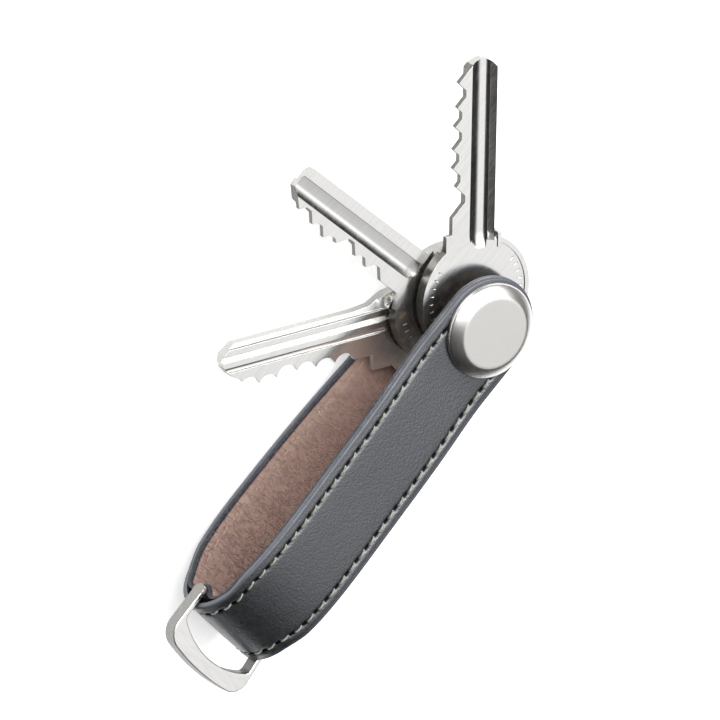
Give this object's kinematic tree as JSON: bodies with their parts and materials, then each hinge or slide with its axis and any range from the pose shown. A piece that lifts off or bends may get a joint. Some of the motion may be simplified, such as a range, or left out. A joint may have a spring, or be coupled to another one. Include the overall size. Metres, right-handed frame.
{
  "type": "key organiser",
  "caption": "Folded leather strap holding flat keys between two leaves on a round screw post with steel caps, with a D-ring in the fold.",
  "frame": {"origin": "centre of the coin slot at the back cap's outer face, on the axis of the screw post", "axes": "+Z along the screw post towards the front cap, -X along the strap to the fold and the D-ring, +Y the side the keys fan out on"},
  "size_m": [0.1152, 0.0588, 0.0194],
  "materials": {
    "outer_leather": "satin",
    "lining_leather": "satin",
    "needle_thread": "matte",
    "bobbin_thread": "matte",
    "cap_steel": "satin",
    "post_steel": "satin",
    "washer": "matte",
    "key_nickel": "polished",
    "ring_steel": "satin"
  },
  "bodies": {
    "strap": {"outer_leather": "outer_leather", "lining_leather": "lining_leather", "needle_thread_left": "needle_thread", "needle_thread_right": "needle_thread", "bobbin_thread_left": "bobbin_thread", "bobbin_thread_right": "bobbin_thread", "front_cap": "cap_steel", "back_cap": "cap_steel", "barrel_post": "post_steel", "front_eyelet": "post_steel", "back_eyelet": "post_steel", "spacer_1": "washer", "spacer_2": "washer", "washer_1": "washer", "washer_2": "washer"},
    "key_1": {"key_1": "key_nickel"},
    "key_2": {"key_2": "key_nickel"},
    "key_3": {"key_3": "key_nickel"},
    "ring": {"d_ring": "ring_steel"},
    "screw": {"clamp_screw": "post_steel"}
  },
  "joints": [
    {"name": "key_1_turn", "type": "hinge", "parent": "strap", "child": "key_1", "pos_m": [0, 0, 0.0111], "axis": [0, 0, 1], "range_deg": [-226.7, 133.3]},
    {"name": "key_2_turn", "type": "hinge", "parent": "strap", "child": "key_2", "pos_m": [0, 0, 0.0083], "axis": [0, 0, 1], "range_deg": [-275.7, 84.3]},
    {"name": "key_3_turn", "type": "hinge", "parent": "strap", "child": "key_3", "pos_m": [0, 0, 0.0055], "axis": [0, 0, 1], "range_deg": [-319, 41]},
    {"name": "ring_swing", "type": "hinge", "parent": "strap", "child": "ring", "pos_m": [-0.0685, 0, 0.0106], "axis": [0, 1, 0], "range_deg": [-76, 74]},
    {"name": "screw_turn", "type": "hinge", "parent": "strap", "child": "screw", "pos_m": [0, 0, 0], "axis": [0, 0, 1], "continuous": true}
  ]
}
